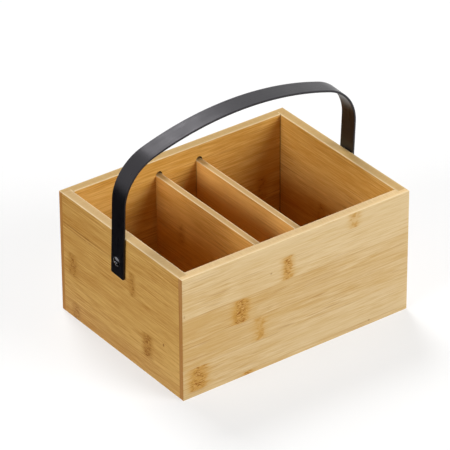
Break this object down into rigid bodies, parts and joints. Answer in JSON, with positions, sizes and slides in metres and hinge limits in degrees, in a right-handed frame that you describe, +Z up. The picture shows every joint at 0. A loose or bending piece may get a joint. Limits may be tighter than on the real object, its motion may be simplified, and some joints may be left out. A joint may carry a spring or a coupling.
{
  "type": "condiment caddy",
  "caption": "Open rectangular bamboo caddy with fixed dividers between its long walls and a black steel strap handle that swings over the rim, for bottles, jars, cutlery and napkins.",
  "frame": {"origin": "centre of the box's footprint, on the surface it stands on", "axes": "+X along the front from left to right, +Y from front to back, +Z up"},
  "size_m": [0.249, 0.18, 0.2093],
  "materials": {
    "bamboo_wall": "satin lacquered bamboo",
    "bamboo_end": "satin lacquered bamboo",
    "bamboo_bottom": "satin lacquered bamboo",
    "bamboo_divider": "satin lacquered bamboo, layered edge",
    "black_coated_steel": "black satin powder coat",
    "black_screw": "black plated, semi-gloss",
    "dark_nylon": "plain nylon",
    "insert_brass": "plain"
  },
  "bodies": {
    "box": {"front_panel": "bamboo_wall", "back_panel": "bamboo_wall", "left_end_panel": "bamboo_end", "right_end_panel": "bamboo_end", "bottom_panel": "bamboo_bottom", "left_divider": "bamboo_divider", "right_divider": "bamboo_divider", "left_pivot_screw": "black_screw", "right_pivot_screw": "black_screw", "left_spacer_washer": "dark_nylon", "right_spacer_washer": "dark_nylon", "left_threaded_insert": "insert_brass", "right_threaded_insert": "insert_brass"},
    "handle": {"handle_strap": "black_coated_steel"}
  },
  "joints": [
    {"name": "handle_swing", "type": "hinge", "parent": "box", "child": "handle", "pos_m": [0, 0, 0.0945], "axis": [1, 0, 0], "range_deg": [-61, 55]}
  ]
}
